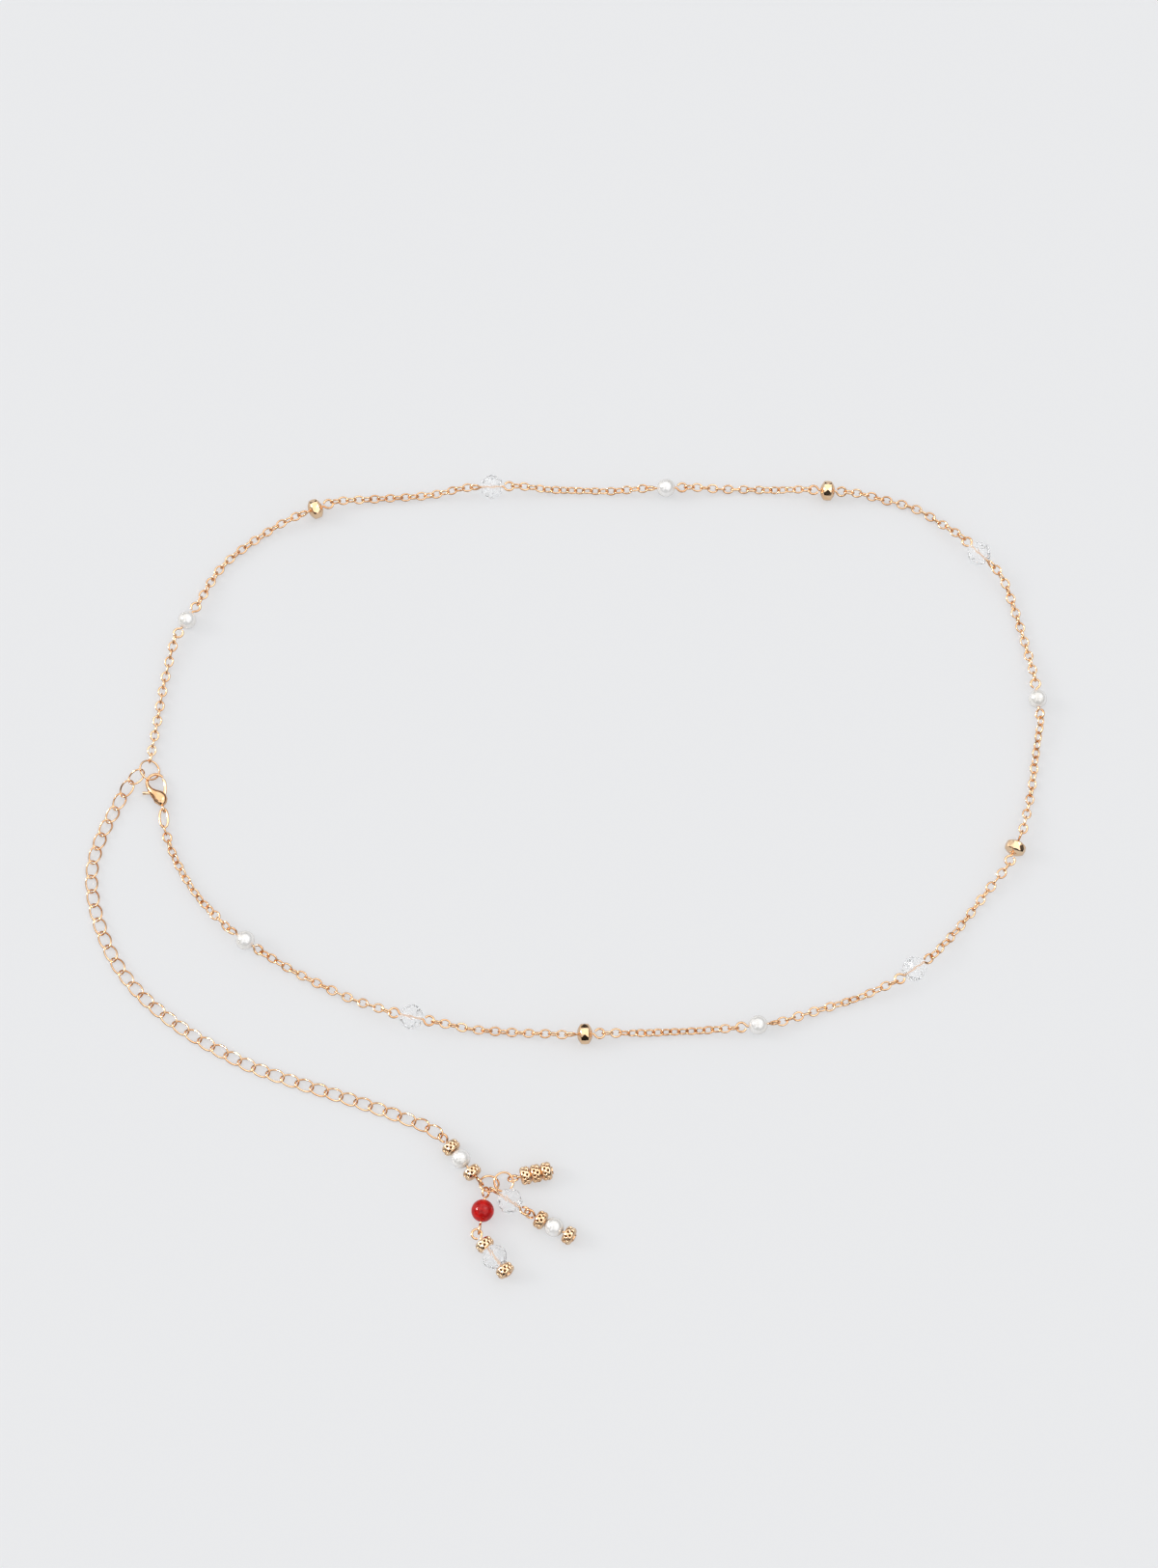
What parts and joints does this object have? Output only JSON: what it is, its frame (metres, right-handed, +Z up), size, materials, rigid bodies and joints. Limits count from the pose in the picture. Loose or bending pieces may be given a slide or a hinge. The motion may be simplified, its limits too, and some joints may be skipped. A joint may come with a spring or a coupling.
{
  "type": "waist chain",
  "caption": "Fine waist chain with pearl, cut metal and clear crystal beads, a lobster clasp, an extension chain and a three-drop beaded tassel.",
  "frame": {"origin": "middle of the chain's outline, on the surface that it lies on", "axes": "+X to the wearer's or viewer's right in the picture, +Y away from the viewer, +Z up off the surface"},
  "size_m": [0.2566, 0.2235, 0.0065],
  "materials": {
    "warm_gold": "polished",
    "yellow_gold": "polished",
    "pearl": "glossy",
    "crystal": "polished",
    "red_bead": "polished"
  },
  "bodies": {
    "chain": {"pearl_1": "pearl", "gold_rondelle_1": "yellow_gold", "crystal_1": "crystal", "pearl_2": "pearl", "gold_rondelle_2": "yellow_gold", "crystal_2": "crystal", "pearl_3": "pearl", "gold_rondelle_3": "yellow_gold", "crystal_3": "crystal", "pearl_4": "pearl", "gold_rondelle_4": "yellow_gold", "crystal_4": "crystal", "pearl_5": "pearl", "eye_pin_1": "warm_gold", "eye_pin_2": "warm_gold", "eye_pin_3": "warm_gold", "eye_pin_4": "warm_gold", "eye_pin_5": "warm_gold", "eye_pin_6": "warm_gold", "eye_pin_7": "warm_gold", "eye_pin_8": "warm_gold", "eye_pin_9": "warm_gold", "eye_pin_10": "warm_gold", "eye_pin_11": "warm_gold", "eye_pin_12": "warm_gold", "eye_pin_13": "warm_gold", "fine_chain_upper": "warm_gold", "fine_chain_lower": "warm_gold", "end_ring": "warm_gold", "clasp_body": "warm_gold", "clasp_rivet": "warm_gold", "clasp_link": "warm_gold", "extension_chain": "warm_gold", "tassel_eye_pin": "warm_gold", "tassel_spacer_1": "yellow_gold", "tassel_pearl": "pearl", "tassel_spacer_2": "yellow_gold", "tassel_ring_1": "warm_gold", "tassel_ring_2": "warm_gold", "drop_a_head_pin": "warm_gold", "drop_a_spacer_1": "yellow_gold", "drop_a_spacer_2": "yellow_gold", "drop_a_spacer_3": "yellow_gold", "drop_b_eye_pin": "warm_gold", "drop_b_crystal": "crystal", "drop_b_head_pin": "warm_gold", "drop_b_spacer_1": "yellow_gold", "drop_b_pearl": "pearl", "drop_b_spacer_2": "yellow_gold", "drop_c_eye_pin": "warm_gold", "drop_c_red_bead": "red_bead", "drop_c_head_pin": "warm_gold", "drop_c_spacer_1": "yellow_gold", "drop_c_crystal": "crystal", "drop_c_spacer_2": "yellow_gold"},
    "lever": {"clasp_lever": "warm_gold"}
  },
  "joints": [
    {"name": "clasp_lever_pivot", "type": "hinge", "parent": "chain", "child": "lever", "pos_m": [-0.1087, 0.0175, 0.0013], "axis": [0, 0, 1], "range_deg": [0, 24], "stiffness_Nm_per_rad": 0.001, "springref_deg": -11.46}
  ]
}
